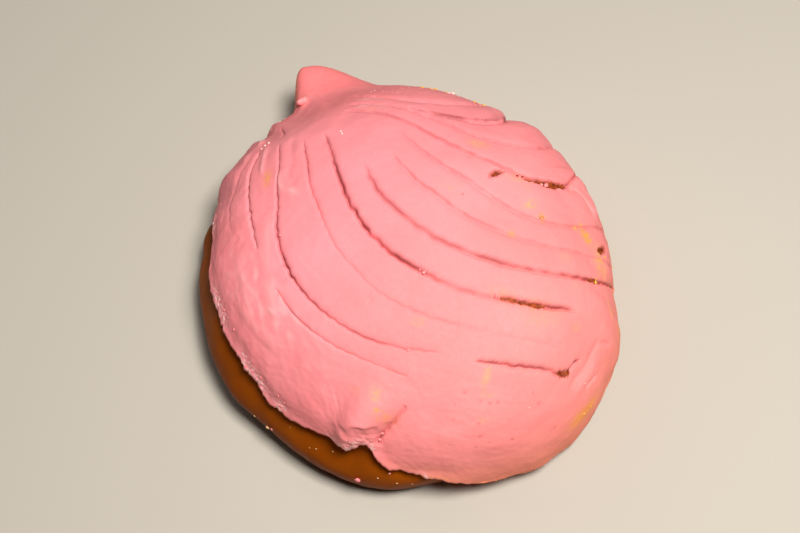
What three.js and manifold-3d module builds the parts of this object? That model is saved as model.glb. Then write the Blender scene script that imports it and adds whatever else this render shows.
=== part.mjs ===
// A shell-scored sweet roll: a round brown bun under a thick pink sugar crust. The crust is scored
// with curved grooves that fan out from a small hinge tab at the back, as on a scallop shell.
// Millimetres, +Z up, flat underside on z = 0, tab towards +Y.

import * as THREE from 'three';
import { mergeVertices } from 'three/addons/utils/BufferGeometryUtils.js';
import Module from 'manifold-3d';

// ---- Driving dimensions: millimetres, and degrees anticlockwise from +X seen from above ----
// A point on the bun is an angle and a level: 0 at the crown, 1 on the widest line, 2 at the floor.

const BUN_RADIUS = 54.2;
const BUN_HEIGHT = 41.7;
const WIDEST_HEIGHT = 10;
const UNDERSIDE_INSET = 5;
const DOME_SQUARENESS = 2.3;
// Unevenness of the outline: waves round the bun, their size, and the angle of a crest
const OUTLINE_WAVES = [
  [2, 2.9, -60],
  [3, 0.7, -56],
  [4, 0.6, 35],
  [5, 0.6, 26],
  [6, 0.5, 16],
];

// The side of the bun that the crust leaves bare: it swells out below the crust's raised edge,
// and the dome above it is a little narrower
const SWELL = 4.5;
const SWELL_HIGHEST_LEVEL = 0.88;
const DOME_NARROWING = 1.3;
const SWELL_STARTS = [140, 168];
const SWELL_ENDS = [252, 284];

// Hinge tab of dough at the back, and the valley between it and the dome
const TAB_ANGLE = 105;
const TAB_LEFT_SPAN = 9;
const TAB_RIGHT_SPAN = 19;
const TAB_REACH = 11;
const TAB_GROWS_LEVELS = [0.6, 0.98];
const TAB_TUCKS_IN_LEVELS = [1.05, 1.9];
const TAB_RAISE = 10;
const TAB_RAISE_SPAN = 0.14;
const VALLEY_ANGLE = 108;
const VALLEY_SPAN = 15;
const VALLEY_LEVEL = 0.7;
const VALLEY_WIDTH = 0.09;
const VALLEY_DEPTH = 4.5;

// Sugar crust: how thick it lies, its gap to the bun, and the level of its lower edge by angle
const CRUST_THICKNESS = 3;
const CRUST_GAP = 0.3;
const EDGE_ROLL = 0.55;
const EDGE_LEVELS = [
  [0, 1.4],
  [85, 1.35],
  [98, 1.1],
  [116, 1.1],
  [140, 1.0],
  [162, 0.86],
  [176, 0.71],
  [200, 0.71],
  [222, 0.8],
  [246, 0.82],
  [251, 0.76],
  [262, 0.9],
  [276, 1.02],
  [300, 1.4],
  [360, 1.4],
];

// Rib ends bulge out between these angles at the right of the shell, and die out up the dome and
// towards the floor between these levels
const RIB_ENDS = [62, 44.5, 28.5, 15, 3, -12, -24];
const RIB_BULGE = 1.6;
const RIB_GROWS_LEVELS = [0.4, 0.7];
const RIB_FADES_LEVELS = [1.05, 1.35];

// Pinched nipple of crust at the lower edge: its ridge from top to tip, on the map described below
const PINCH_TOP = [-6.5, -26];
const PINCH_TIP = [-20, -44];
const PINCH_HEIGHT = 4.5;
const PINCH_WIDTH = 4.5;

// Grooves, drawn on a map of the dome: a point's distance from the centre is its level times
// MAP_SCALE, so lengths on the map are nearly those of a tape laid over the crust.
const MAP_SCALE = 60;
const GROOVES = [
  { from: [-30.5, 26.5], bend: [-38, 33], to: [-40.5, 15.5], width: 2.2, depth: 1.0 },
  { from: [-24, 24.5], bend: [-29.5, 14], to: [-26.5, 2], width: 2.4, depth: 1.3 },
  { from: [-19, 34], bend: [-11, 20], to: [-22.5, 0], width: 2.4, depth: 1.4 },
  { from: [-21.5, 3], bend: [-20.5, -21.5], to: [9, -24.5], width: 2.6, depth: 1.8 },
  { from: [-24.5, -7], bend: [-20.5, -21], to: [-1.5, -28], width: 2.2, depth: 1.1 },
  { from: [-13, 22.5], bend: [-17, -19], to: [28.5, -26], width: 2.4, depth: 1.2 },
  { from: [-9.5, 24.5], bend: [-8.5, 1.5], to: [2, -9], width: 2.6, depth: 2.1 },
  { from: [1.5, -8], bend: [15.5, -18], to: [37, -21], width: 2.4, depth: 1.7 },
  { from: [-4, 10.5], bend: [3.5, -16.5], to: [50, -14.5], width: 2.6, depth: 1.9 },
  { from: [-1.5, 16.5], bend: [6.5, -6.5], to: [33.5, -9], width: 2.0, depth: 0.9 },
  { from: [4, 16.5], bend: [17, -4], to: [35, -3], width: 2.0, depth: 0.9 },
  { from: [0.5, 25], bend: [7, 14], to: [20, 9.5], width: 2.4, depth: 1.2 },
  { from: [5, 26.5], bend: [24, 10.5], to: [37, 20], width: 2.6, depth: 1.5 },
  { from: [5, 26.5], bend: [16.5, 20], to: [29, 28], width: 2.8, depth: 2.0 },
  { from: [6.5, 29.5], bend: [15, 27.5], to: [23.5, 33], width: 2.4, depth: 1.3 },
  { from: [6, -24], bend: [17, -30], to: [24, -31], width: 1.8, depth: 1.4 },
  { from: [-3, -31], bend: [-10, -37], to: [-15, -44], width: 3.0, depth: 2.0 },
];

// Open tears in the same grooves, right through the crust to the bun
const TEAR_DEPTH = 6;
const TEARS = [
  { from: [16, -16.5], bend: [21, -19], to: [27.5, -20], width: 1.6 },
  { from: [21, 7.5], bend: [30, 4.5], to: [37.5, 9], width: 2.2 },
  { from: [22.5, -30], bend: [26.5, -33.5], to: [30, -29.5], width: 2.0 },
];

// Fineness of the faceted solids
const SECTORS = 84;
const CRUST_RINGS = 18;
const SHARED_RINGS = 9;
const SIDE_RINGS = 7;
const GROOVE_STATIONS = 10;
const TEAR_STATIONS = 4;

// ---- Small helpers ----

const radians = (degrees) => THREE.MathUtils.degToRad(degrees);
const rise = (start, end, x) => THREE.MathUtils.smoothstep(x, start, end);
const bell = (x) => Math.exp(-x * x);

// Signed turn from one angle to another, between -180 and 180
function turnBetween(from, to) {
  return THREE.MathUtils.euclideanModulo(to - from + 180, 360) - 180;
}

// ---- The bun's surface ----

function outlineRadius(angle) {
  return OUTLINE_WAVES.reduce(
    (radius, [waves, size, crest]) => radius + size * Math.cos(waves * radians(angle - crest)),
    BUN_RADIUS,
  );
}

// 1 where the crust leaves the side of the bun bare, 0 elsewhere
function bareShare(angle) {
  const wrapped = THREE.MathUtils.euclideanModulo(angle, 360);
  return rise(...SWELL_STARTS, wrapped) - rise(...SWELL_ENDS, wrapped);
}

// 1 in the middle of the tab, 0 beyond its two flanks
function tabShare(angle) {
  const turn = turnBetween(TAB_ANGLE, angle);
  return 1 - rise(0, turn > 0 ? TAB_LEFT_SPAN : TAB_RIGHT_SPAN, Math.abs(turn));
}

// The level of the crust's lower edge
function edgeLevel(angle) {
  const wrapped = THREE.MathUtils.euclideanModulo(angle, 360);
  const next = EDGE_LEVELS.findIndex(([station]) => station > wrapped);
  const [fromAngle, fromLevel] = EDGE_LEVELS[next - 1];
  const [toAngle, toLevel] = EDGE_LEVELS[next];
  return THREE.MathUtils.lerp(fromLevel, toLevel, rise(fromAngle, toAngle, wrapped));
}

// A superellipse dome over the widest line and a quarter ellipse tucked in under it
function bunPoint(angle, level) {
  const over = Math.min(level, 1) * 0.5 * Math.PI;
  const under = Math.max(level - 1, 0) * 0.5 * Math.PI;
  const power = 2 / DOME_SQUARENESS;
  const bare = bareShare(angle);
  let radius = (outlineRadius(angle) - DOME_NARROWING * bare) * Math.sin(over) ** power;
  radius += SWELL * bare * rise(Math.min(edgeLevel(angle) - 0.02, SWELL_HIGHEST_LEVEL), 1, level);
  radius -= UNDERSIDE_INSET * (1 - Math.cos(under));
  let height = WIDEST_HEIGHT * (1 - Math.sin(under));
  height += (BUN_HEIGHT - WIDEST_HEIGHT) * Math.max(Math.cos(over), 0) ** power;
  const tab = tabShare(angle);
  radius += tab * TAB_REACH * rise(...TAB_GROWS_LEVELS, level) * (1 - rise(...TAB_TUCKS_IN_LEVELS, level));
  height += tab * TAB_RAISE * bell((level - 1) / TAB_RAISE_SPAN);
  const valley = bell(turnBetween(VALLEY_ANGLE, angle) / VALLEY_SPAN);
  height -= VALLEY_DEPTH * valley * bell((level - VALLEY_LEVEL) / VALLEY_WIDTH);
  return new THREE.Vector3(radius * Math.cos(radians(angle)), radius * Math.sin(radians(angle)), height);
}

// Outward direction of the plain dome, and of the ellipse tucked in under it. The crust lies off
// the bun in this direction, also over the tab and its valley, so it never folds over itself.
function outward(angle, level) {
  const over = Math.min(level, 1) * 0.5 * Math.PI;
  const under = Math.max(level - 1, 0) * 0.5 * Math.PI;
  const power = 2 - 2 / DOME_SQUARENESS;
  const out = Math.sin(over) ** power * Math.cos(under) / BUN_RADIUS;
  const up = Math.max(Math.cos(over), 0) ** power / (BUN_HEIGHT - WIDEST_HEIGHT);
  const down = UNDERSIDE_INSET * Math.sin(under) / (WIDEST_HEIGHT * BUN_RADIUS);
  return new THREE.Vector3(
    out * Math.cos(radians(angle)), out * Math.sin(radians(angle)), up - down).normalize();
}

// ---- The crust's surface ----

function ribBulge(angle, level) {
  const turn = turnBetween(0, angle);
  const next = RIB_ENDS.findIndex((end) => end < turn);
  if (next < 1) return 0;
  const share = (RIB_ENDS[next - 1] - turn) / (RIB_ENDS[next - 1] - RIB_ENDS[next]);
  const arch = 4 * share * (1 - share);
  return RIB_BULGE * arch * rise(...RIB_GROWS_LEVELS, level) * (1 - rise(...RIB_FADES_LEVELS, level));
}

function mapPoint(angle, level) {
  const reach = MAP_SCALE * level;
  return new THREE.Vector2(reach * Math.cos(radians(angle)), reach * Math.sin(radians(angle)));
}

// A ridge that rises towards its tip at the crust's edge
function pinchRidge(angle, level) {
  const top = new THREE.Vector2(...PINCH_TOP);
  const ridge = new THREE.Vector2(...PINCH_TIP).sub(top);
  const offset = mapPoint(angle, level).sub(top);
  const along = offset.dot(ridge) / ridge.lengthSq();
  const across = offset.cross(ridge) / ridge.length();
  return PINCH_HEIGHT * bell(across / PINCH_WIDTH) * rise(0, 0.9, along) * (1 - rise(1.05, 1.3, along));
}

// A point on the crust's outside, lifted off the bun by a share of the full thickness
function crustPoint(angle, level, share = 1) {
  const relief = ribBulge(angle, level) + pinchRidge(angle, level);
  const lift = CRUST_GAP + share * (CRUST_THICKNESS + relief);
  return bunPoint(angle, level).addScaledVector(outward(angle, level), lift);
}

// ---- Closed meshes from rings and sections ----

function closedGeometry(points, triangles) {
  const geometry = new THREE.BufferGeometry();
  geometry.setAttribute('position', new THREE.Float32BufferAttribute(points.flatMap((p) => p.toArray()), 3));
  geometry.setIndex(triangles.flat());
  return geometry;
}

function ringOf(pointAt) {
  return Array.from({ length: SECTORS }, (_, k) => pointAt((360 * k) / SECTORS));
}

// Two triangles across a quad's shorter diagonal
function splitQuad(points, a, b, c, d) {
  const acrossA = points[a].distanceTo(points[c]) < points[b].distanceTo(points[d]);
  return acrossA ? [[a, b, c], [a, c, d]] : [[a, b, d], [b, c, d]];
}

// Rings of points from one pole to the other, closed round the bun
function skinOverRings(startPole, rings, endPole) {
  const points = [startPole, ...rings.flat(), endPole];
  const last = points.length - 1;
  const triangles = [];
  for (let k = 0; k < SECTORS; k += 1) {
    const next = (k + 1) % SECTORS;
    triangles.push([0, 1 + k, 1 + next]);
    for (let ring = 1; ring < rings.length; ring += 1) {
      const upper = 1 + (ring - 1) * SECTORS;
      const lower = upper + SECTORS;
      triangles.push(...splitQuad(points, upper + k, lower + k, lower + next, upper + next));
    }
    const lowest = last - SECTORS;
    triangles.push([lowest + next, lowest + k, last]);
  }
  return closedGeometry(points, triangles);
}

// A closed bar from three-cornered sections
function barFromSections(sections) {
  const points = sections.flat();
  const triangles = [[0, 2, 1]];
  for (let k = 3; k < points.length; k += 3) {
    for (const [a, b] of [[0, 2], [2, 1], [1, 0]]) {
      triangles.push([k - 3 + a, k + a, k + b], [k - 3 + a, k + b, k - 3 + b]);
    }
  }
  const end = points.length - 3;
  triangles.push([end, end + 1, end + 2]);
  return closedGeometry(points, triangles);
}

// ---- The two pieces ----

// Levels from the crown to the crust's edge, shared by the bun and the crust's underside, so
// that the facets of the two lie parallel
const sharedRings = (pointAt) =>
  Array.from({ length: SHARED_RINGS }, (_, k) =>
    ringOf((angle) => pointAt(angle, (edgeLevel(angle) * (k + 1)) / SHARED_RINGS)));

function makeBun() {
  const rings = sharedRings(bunPoint);
  for (let k = 1; k <= SIDE_RINGS; k += 1) {
    const share = k / SIDE_RINGS;
    rings.push(ringOf((angle) => bunPoint(angle, THREE.MathUtils.lerp(edgeLevel(angle), 2, share))));
  }
  return skinOverRings(bunPoint(0, 0), rings, new THREE.Vector3());
}

// The outside runs down to the edge, rolls over it, and the underside runs back up to the crown
function makeCrustBlank() {
  const rings = [];
  for (let k = 1; k <= CRUST_RINGS; k += 1) {
    const share = k / CRUST_RINGS;
    const roll = share < 1 ? 1 : EDGE_ROLL;
    rings.push(ringOf((angle) => crustPoint(angle, edgeLevel(angle) * share, roll)));
  }
  rings.push(...sharedRings((angle, level) => crustPoint(angle, level, 0)).reverse());
  return skinOverRings(crustPoint(0, 0), rings, crustPoint(0, 0, 0));
}

// A wedge that scores one groove: its apex runs along the groove, shallower at the two ends, and
// its broad top stands clear of the crust
function makeCutter({ from, bend, to, width, depth }, stations) {
  const clearance = 1.5;
  const aheadStep = 0.02;
  const route = new THREE.QuadraticBezierCurve(
    new THREE.Vector2(...from), new THREE.Vector2(...bend), new THREE.Vector2(...to));
  const onCrust = (share) => {
    const spot = route.getPoint(share);
    const angle = THREE.MathUtils.radToDeg(spot.angle());
    const level = spot.length() / MAP_SCALE;
    return { point: crustPoint(angle, level), up: outward(angle, level) };
  };
  const sections = [];
  for (let k = 0; k <= stations; k += 1) {
    const share = k / stations;
    const { point, up } = onCrust(share);
    const ahead = onCrust(Math.min(share + aheadStep, 1)).point;
    ahead.sub(onCrust(Math.max(share - aheadStep, 0)).point);
    const side = up.clone().cross(ahead).normalize();
    const fullness = Math.sin(Math.PI * THREE.MathUtils.lerp(0.03, 0.97, share)) ** 0.6;
    const half = 0.5 * width * fullness * (1 + clearance / depth);
    const top = point.clone().addScaledVector(up, clearance);
    sections.push([
      top.clone().addScaledVector(side, half),
      top.clone().addScaledVector(side, -half),
      point.clone().addScaledVector(up, -depth * fullness),
    ]);
  }
  return barFromSections(sections);
}

// ---- Cutting ----

const wasm = await Module();
wasm.setup();

function toSolid(geometry) {
  const merged = mergeVertices(geometry);
  return new wasm.Manifold(new wasm.Mesh({
    numProp: 3,
    vertProperties: Float32Array.from(merged.attributes.position.array),
    triVerts: Uint32Array.from(merged.index.array),
  }));
}

function toGeometry(solid) {
  const mesh = solid.getMesh();
  const geometry = new THREE.BufferGeometry();
  geometry.setAttribute('position', new THREE.Float32BufferAttribute(mesh.vertProperties, 3));
  geometry.setIndex(Array.from(mesh.triVerts));
  return geometry;
}

function makeCrust() {
  let crust = toSolid(makeCrustBlank());
  for (const groove of GROOVES) {
    crust = crust.subtract(toSolid(makeCutter(groove, GROOVE_STATIONS)));
  }
  for (const tear of TEARS) {
    crust = crust.subtract(toSolid(makeCutter({ ...tear, depth: TEAR_DEPTH }, TEAR_STATIONS)));
  }
  return toGeometry(crust);
}

// ---- Assembly, centred over the origin ----

const bun = new THREE.Mesh(
  makeBun(),
  new THREE.MeshStandardMaterial({ color: 0x74390a, roughness: 0.42, metalness: 0 }),
);
bun.name = 'bread_bun';

const crust = new THREE.Mesh(
  makeCrust(),
  new THREE.MeshStandardMaterial({ color: 0xf58d8b, roughness: 0.75, metalness: 0 }),
);
crust.name = 'sugar_crust';

const roll = new THREE.Group();
roll.add(bun, crust);

const middle = new THREE.Box3().setFromObject(roll).getCenter(new THREE.Vector3());
bun.position.set(-middle.x, -middle.y, 0);
crust.position.copy(bun.position);

export default roll;
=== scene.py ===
"""A shell-scored sweet roll: a browned bun under a thick pink sugar crust, with its crumbs.

Sizes are millimetres until a mesh is made, which turns them into metres. A place on the roll is
an angle (degrees anticlockwise from +X, seen from above) and a level (0 at the crown, 1 on the
widest line, 2 at the floor). The map is the roll's skin laid flat: a place lies MAP_SCALE times
its level away from the middle, so lengths on the map are nearly lengths on the crust.
"""
import math

import bpy
import numpy as np
from mathutils import Matrix, Vector


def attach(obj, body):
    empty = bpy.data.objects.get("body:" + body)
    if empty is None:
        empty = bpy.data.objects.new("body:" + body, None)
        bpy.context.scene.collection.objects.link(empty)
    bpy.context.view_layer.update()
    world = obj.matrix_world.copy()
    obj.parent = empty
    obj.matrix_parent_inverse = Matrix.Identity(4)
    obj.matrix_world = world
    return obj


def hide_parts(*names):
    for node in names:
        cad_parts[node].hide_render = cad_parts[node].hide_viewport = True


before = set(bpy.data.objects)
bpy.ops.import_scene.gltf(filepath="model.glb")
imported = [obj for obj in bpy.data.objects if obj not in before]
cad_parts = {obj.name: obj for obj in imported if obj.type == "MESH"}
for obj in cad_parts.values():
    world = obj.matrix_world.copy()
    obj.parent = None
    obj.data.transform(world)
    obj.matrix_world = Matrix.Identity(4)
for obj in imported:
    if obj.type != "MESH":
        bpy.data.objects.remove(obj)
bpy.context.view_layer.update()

MM = 0.001
MAP_SCALE = 60.0
CROWN = np.array([0.2933, -5.0478, 0.0])  # where the crown's axis stands

# ---- The bun ----
BUN_RADIUS = 54.2
BUN_HEIGHT = 41.7
WIDEST_HEIGHT = 10.0
UNDERSIDE_INSET = 5.0
DOME_SQUARENESS = 2.3
OUTLINE_WAVES = ((2, 2.9, -60), (3, 0.7, -56), (4, 0.6, 35), (5, 0.6, 26), (6, 0.5, 16))
BUN_SECTORS = 600

# On the bare side, between these angles, the dome is narrower and swells out below the crust's
# edge: from just above these levels, or from the highest level where they are greater
DOME_NARROWING = 1.3
SWELL = 4.5
SWELL_STARTS = (138, 160)
SWELL_ENDS = (252, 284)
SWELL_HIGHEST_LEVEL = 0.88
SWELL_LEVELS = (
    (0, 1.4), (85, 1.35), (98, 1.1), (116, 1.1), (140, 1), (162, .86), (176, .71), (200, .71), (222, .8),
    (246, .82), (251, .76), (262, .9), (276, 1.02), (300, 1.4), (360, 1.4))
# How far the bare side stands out further: angles and millimetres
BARE_OUTLINE = (
    (145, 0), (149, 1), (152, 1.9), (155, 1.9), (158, 1.3), (161, .9), (163, .9), (172, .5), (180, .3),
    (195, .3), (205, .6), (215, .4), (228, .7), (240, .8), (250, .6), (258, .3), (264, 0))

# ---- The hinge tab at the back and the valley in front of it ----
TAB_ANGLE = 105
TAB_LEFT_SPAN = 9
TAB_RIGHT_SPAN = 19
TAB_REACH = 12.0
TAB_RAISE = 8.2
TAB_RAISE_WIDTH = 0.17
VALLEY_ANGLE = 108
VALLEY_SPAN = 15
VALLEY_LEVEL = 0.7
VALLEY_WIDTH = 0.12
VALLEY_DEPTH = 4.2

# ---- The crust ----
CRUST_THICKNESS = 3.0
CRUST_GAP = 0.3
CRUST_BOND = -0.8  # height of the crust's underside above the bun's skin, into which it has baked
CRUST_CELLS = 288
EVEN_SHARE = 0.87  # share of the grid that is laid evenly, above the broken edge
RIM_RINGS = 6
RIM_ROUNDING = 1.3
UNDER_RINGS = 5
# Its masks, and which of them run on over the rim
# The first and the last mask are painted shade: in the scores and pits, and on the tab and its valley
MASKS = ("score_shade", "white", "torn", "stain", "stain_red", "deep")
MASK_ON_RIM = np.array([[0], [1], [0], [1], [1], [1]])

# The crust is thinner towards its edge on the bare side: height, angles, distance from the edge
EDGE_THINNING = 0.5
THIN_STARTS = (150, 165)
THIN_ENDS = (230, 242)
THIN_TOWARDS_EDGE = (-6, -0.5)

# How far the rib ends stand out: angles and millimetres
RIB_OUTLINE = (
    (-90, 0), (-84, .6), (-78, .9), (-66, .9), (-62, .4), (-58, 0), (-52, -.8), (-46, -1.2), (-42, -1.5),
    (-40, -1.6), (-37, -.9), (-33, 0), (-27, .2), (-24, -.4), (-18, -.5), (-15.5, -.5), (-13, .3), (-9, .4),
    (-3, .3), (2, .2), (6, .1), (9, -.1), (12.5, -.7), (14.5, -.2), (16.5, .1), (18.5, .1), (20, -.7),
    (22, -.5), (25, -.3), (28.5, 0), (30.5, -.6), (33, 0), (38, 1.2), (42, 1.1), (45, .4), (46.6, -1.4),
    (48, -1.8), (49.2, -.2), (51, .6), (54, .3), (57, -.4), (60, -.2), (64, 0), (104.5, 0), (107.5, 1.4),
    (111.5, 1.8), (117.5, 1.3), (120.5, 1.6), (122.3, .6), (124, -.6), (127, -.7), (129, .4), (133, 0),
    (139, .2), (142, .8), (144.5, .3), (147, -.6), (149.5, -.9), (151, -.5), (152.5, -.6), (154.5, 0),
    (180, 0))

# The lower edge: angles and levels
CRUST_EDGE = (
    (0, 1.4), (85, 1.35), (97, 1.12), (116, 1.08), (138, 1), (148, .875), (153, .825), (158, .79),
    (163, .756), (171, .746), (179, .741), (187, .732), (194, .741), (201, .741), (206, .753), (212, .774),
    (216, .808), (219, .821), (227, .821), (234, .807), (240, .793), (243, .803), (245, .808), (246.5, .797),
    (248, .775), (249.8, .752), (251, .748), (252, .768), (253.2, .808), (255, .843), (258, .878),
    (262, .898), (266, .916), (270, .938), (276, .985), (284, 1.1), (300, 1.4), (360, 1.4))

# Swells and hollows at the back: angle, span, level, reach, height
BACK_FORMS = ((90, 8, 0.94, 0.13, 1.7), (112, 17, 0.61, 0.09, -0.8))

# ---- The pinched nipple at the lower edge ----
# Ridges: a line on the map, heights at even stations, width, squareness: the nipple itself, the
# tongue left beside its break, and the dent at its left
PINCH = (((-5, -27.6), (-8, -30.7), (-11, -33.8), (-14, -37), (-16, -39.4)),
         (0, .6, 1.8, 3.2, 4.3, 4.4), 4, 2.5)
TONGUE = (((-17.5, -37.4), (-19.8, -41.2), (-21.4, -45)), (.2, 1.2, 1.5, 1.2), 2.2)
DENT = (((-15.6, -28), (-18.8, -33), (-21.6, -38.2)), (0, -.1, -.2, 0), 3.2)
# The line of its break, the share that drops there and the share that drops along the slope
PINCH_BREAK = ((-19.2, -36.4), (-9.4, -37.5))
BREAK_DROP = 0.42
BREAK_SPAN = (-0.7, 3)
SLOPE_DROP = 0.1
SLOPE_LENGTH = 6
# Middle, half width and length of the broken face, and the upright wrinkles
FACE_X = -15.5
FACE_HALF_WIDTH = 5
FACE_LENGTH = 8
WRINKLES = (-18.6, -34, 2.6, 4.5, 0)
WRINKLE_HEIGHT = 0.05
WRINKLE_STRETCH = (4.2, 0.7)

# ---- Unevenness: layers of height, wave length and seed ----
EDGE_BREAKS = ((0.12, 4.5, 31), (0.07, 1.5, 32))
CRUMBLY_EDGE_BREAKS = ((0.2, 2.2, 33), (0.16, 0.9, 34))
RIM_BREAKS = ((1, 2.6, 71), (0.7, 1.3, 72))
PASTE_WAVES = ((0.12, 17, 1), (0.035, 6, 2), (0.018, 2.2, 3))
CRUMBLY_SKIN = ((0.1, 2.0, 61), (0.06, 1.0, 62))
BROKEN_FACE = ((0.05, 2.6, 42), (0.04, 1.1, 43))
TEAR_BREAKS = ((0.13, 3.0, 51), (0.08, 1.3, 52))
SCORE_BREAKS = ((0.2, 9, 301), (0.16, 3, 302))
BREAD_WAVES = ((0.18, 22, 11), (0.05, 7, 12))

# ---- Tears down to the bread: a line on the map, half-widths at even stations, depth ----
TEARS = (
    (((22.3, 7.2), (25.9, 6.5), (29.7, 6.4), (33.8, 6.8), (37, 7.9)), (.1, .3, .7, 1.05, 1.05, 1, .5), 1.3),
    (((16.2, 6), (17.2, 6.9), (18.3, 7.5), (19.9, 7.9)), (.25, .55, .85, .65, .3), 1.3),
    (((11.4, -13.9), (13.2, -14.6), (15, -15.4), (16.8, -16.2), (18.6, -16.9), (20.4, -17.5), (21.8, -17.9)),
     (.12, .3, .5, .42, .38, .42, .48, .35, .12), 1.3),
    (((43.6, -7.8), (45.7, -7.1), (47.8, -6.4)), (.75, 1.15, .85), .4),
    (((34.6, -14.4), (37, -14.6), (39.4, -14.9)), (.1, .4, .6, .45), 1.1),
    (((23.5, -30.6), (24.5, -31.2), (25.7, -30.9)), (.75, 1.1, .7), 1.2),
    (((26.3, -2), (26.7, -2)), (.3, .3), .8))

# ---- Folds, creases and smears: a line on the map, height, half-width, whiteness ----
RIDGES = (
    (((36.5, 6.6), (41, 8), (44.3, 5.2), (46, 1.4)), -.5, .9, .25),
    (((40, 10.2), (44.6, 11.2), (47, 8.2), (47.3, 4.4), (47.2, .8)), .8, 1.8, 0),
    (((44, 6.8), (45.2, 3.8), (45.8, 1)), .2, .7, .3),
    (((26.5, -35.5), (27.7, -33.4), (30.6, -31.5), (33.8, -28.6), (36.2, -25.7)), -.4, .9, .1),
    (((27.6, -36.6), (29.6, -34.8), (32.6, -32.6), (35.6, -29.8)), .22, 1, .15),
    (((31.5, -36.3), (32.9, -35.3), (34.9, -34.5), (36.1, -33.9)), -.35, .4, .4),
    (((36, -26.6), (37.8, -27.5), (40.7, -28.4)), -.45, .4, 0),
    (((-18.3, 16.5), (-18.9, 14.2), (-18.4, 11.9), (-16.2, 10.2), (-14.9, 9.1)), .35, .6, .3),
    (((-16.6, 15.6), (-16.2, 13), (-14.6, 11.4)), -.25, .9, 0),
    (((-22, 8), (-24, 1), (-25, -5)), .2, 1.2, .2),
    (((-23.6, -4), (-25.4, -9), (-24.6, -13)), .18, 1.1, .3),
    (((-27.5, -1), (-28.5, -7), (-27.2, -12)), -.15, 1.3, 0),
    (((-31.5, 3), (-31.8, -4), (-30, -10)), .18, 1.4, .15),
    (((-22.2, 26.4), (-22.6, 22), (-22.9, 17)), .35, .6, .3),
    (((-16.2, 24), (-15.9, 19), (-15.6, 14.5)), -.3, .8, 0),
    (((-4.6, 32.7), (-.6, 31.9), (3, 30)), .16, .3, .5),
    (((-4.9, 29.4), (-.9, 28.6), (3, 25.8)), .14, .3, .4))

# ---- Lumps: place on the map, reach along and across, turn in degrees, height, whiteness ----
LUMPS = (
    (-15.2, 41.5, 2.2, 1.8, 20, .3, .2), (-16.4, 10.4, 1.4, .7, -40, .3, .3), (-5.5, 1.9, 1.2, .9, 0, .3, .1),
    (-29.5, -17, 3.2, 1.6, -60, .35, .1), (-33, -10.5, 2.6, 1.5, -75, .35, .15),
    (-26.3, -11.4, 1.5, .8, -50, .35, .5), (-24.6, 30, 1.5, .8, 60, .5, .4), (-28, 27.5, 2.2, 1, 50, .45, .2),
    (-20.6, -32.5, 3.5, 1.8, -70, .25, 0), (12, -44.5, 4, 2.2, 10, .25, 0), (2, -41.5, 3.5, 1.6, -15, .2, .1),
    (20, -39, 3, 1.8, 20, .18, 0))

# ---- A flaky patch: place, reach along and across, turn in degrees ----
FLAKY = (-28, -9, 15, 6, -70)
FLAKE_STRETCH = (1.6, 0.8)
FLAKE_HEIGHT = 0.08
FLAKE_WHITENESS = 0.4

# ---- Crumbly stretches of the edge: place on the map and reach ----
CRUMBLY = (
    (-41.5, 18, 3), (-42, -3, 3.2), (-41.4, -7.5, 2.6), (-38.8, -20.5, 3), (-37.9, -25.2, 3), (-35, -32, 1.8),
    (-21, -44, 3), (-17.5, -42, 2.4), (-12.8, -43.5, 1.8), (-5, -55.6, 1.5), (-16.8, 53, 3), (-24.5, 41, 3))

# ---- Stains of yellow and orange sugar: place, reach along and across, turn, strength, redness ----
STAINS = (
    (-21.5, 15.8, 1.2, .8, 80, .8, .5), (0, 26.5, 1.3, .6, -10, .4, .3), (-16.8, 52, 1.8, .5, 80, .7, .4),
    (16.8, 14.8, 1.4, 1, -15, .55, .2), (22.4, 6.4, 2, .8, -10, .45, .6), (8.8, 4.5, 1.3, 1, 0, .25, .5),
    (24.1, .7, 1.1, .7, 10, .6, .2), (26.5, -2, .7, .45, -50, .9, 1), (18.3, -5.1, .5, .4, 0, .9, .6),
    (39.2, -5, 1.5, 1, -50, 1.15, .7), (36, -3.3, .7, .5, 0, .7, .2), (38, -2.4, .5, .4, 0, .7, .3),
    (42.8, -10, 2.8, 1.4, 80, .65, .2), (45, -12.5, 1.6, 1, 80, .6, .1), (29.6, -10.1, 1.2, .8, 0, .35, .4),
    (13.2, -14.1, 1.8, .7, -25, .45, .8), (19, -17.2, 2.6, .9, -20, .5, .9),
    (42.8, -20.9, 1.8, .6, 85, .7, .3), (48.4, -25.6, 2.2, 1, 60, .6, .2), (27.8, -22.6, 1, .6, 0, .4, .5),
    (.3, -17.2, .8, .5, 0, .5, .4), (20.5, -19.1, 3, 1.6, 0, .3, .2), (10, -29, 1.6, .5, 80, .55, .2),
    (9.9, -32.7, .9, .6, 0, .4, .5), (9.2, -38.5, 1, .6, 0, .3, .3), (32.2, -43.4, 2.5, 1.6, 20, 1.15, .7),
    (34.8, -42.3, 2.8, 1.5, 35, 1.15, .6), (36.6, -41, 1.2, .6, 40, .7, .1),
    (-9.4, -30.8, 1.2, .8, 70, .5, .1), (-9.8, -34, .45, .35, 0, .75, .5), (-12.9, -29.9, 1, .7, 0, .35, .8),
    (-8.5, -36.4, 1.9, 1.1, -45, .5, .7), (55.8, -8.4, 2.4, 1.2, 85, .7, .2), (52, -2, 2.2, .9, 85, .45, .5),
    (54, -16, 2.8, 1.2, 80, .5, .3), (24, 4.2, .9, .6, 0, .3, .5), (-1, -57, 3.5, 1.2, -15, .5, .1),
    (9, -61, 3, 1.2, -10, .4, .2), (30.5, -15.5, 1, .5, -10, .3, .7))

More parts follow.
